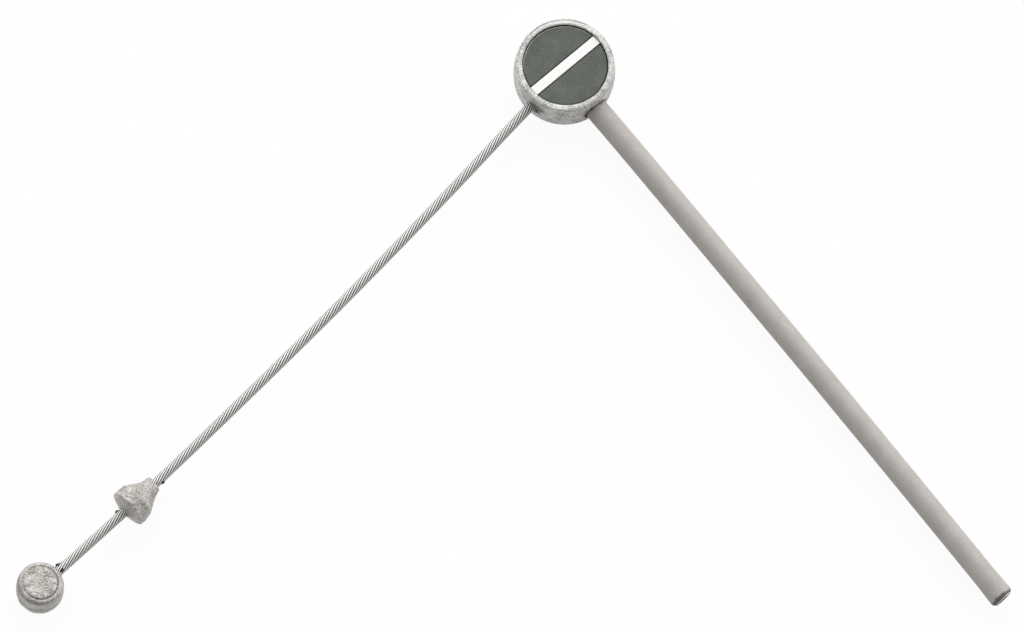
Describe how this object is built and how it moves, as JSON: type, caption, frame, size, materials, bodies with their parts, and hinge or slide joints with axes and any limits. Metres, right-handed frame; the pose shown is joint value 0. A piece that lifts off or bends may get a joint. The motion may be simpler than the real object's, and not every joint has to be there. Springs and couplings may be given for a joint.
{
  "type": "cantilever brake link wire",
  "caption": "Link wire of a cantilever brake: round die-cast carrier with dark face and white bar, stranded wire leg with cast nipples, and straight grey guide hose.",
  "frame": {"origin": "centre of the carrier's back face, on the surface that the part lies on", "axes": "+Z out of the carrier's face, -Y into the open side of the V, +X towards the hose leg's side"},
  "size_m": [0.1496, 0.0947, 0.0061],
  "materials": {
    "cast_zinc": "as-cast zinc alloy, matte",
    "dark_face": "dark grey-green, smooth",
    "white_bar": "white",
    "steel_strand": "bright stranded wire",
    "brass": "drawn",
    "hose_grey": "warm grey, matte",
    "liner_white": "natural, smooth"
  },
  "bodies": {
    "carrier": {"carrier_body": "cast_zinc", "face_disc": "dark_face", "index_bar": "white_bar"},
    "wire_leg": {"anchor_nipple": "cast_zinc", "link_wire": "steel_strand", "seat_nipple": "cast_zinc", "grip_barrel": "cast_zinc"},
    "hose_leg": {"hose_ferrule": "brass", "hose_jacket": "hose_grey", "hose_liner": "liner_white"}
  },
  "joints": [
    {"name": "wire_swing", "type": "hinge", "parent": "carrier", "child": "wire_leg", "pos_m": [-0.00265, -0.00286, 0.0029], "axis": [0, 0, 1], "range_deg": [0, 12]},
    {"name": "hose_turn", "type": "hinge", "parent": "carrier", "child": "hose_leg", "pos_m": [0, 0, 0.0029], "axis": [0.6143, -0.7891, 0], "continuous": true}
  ]
}
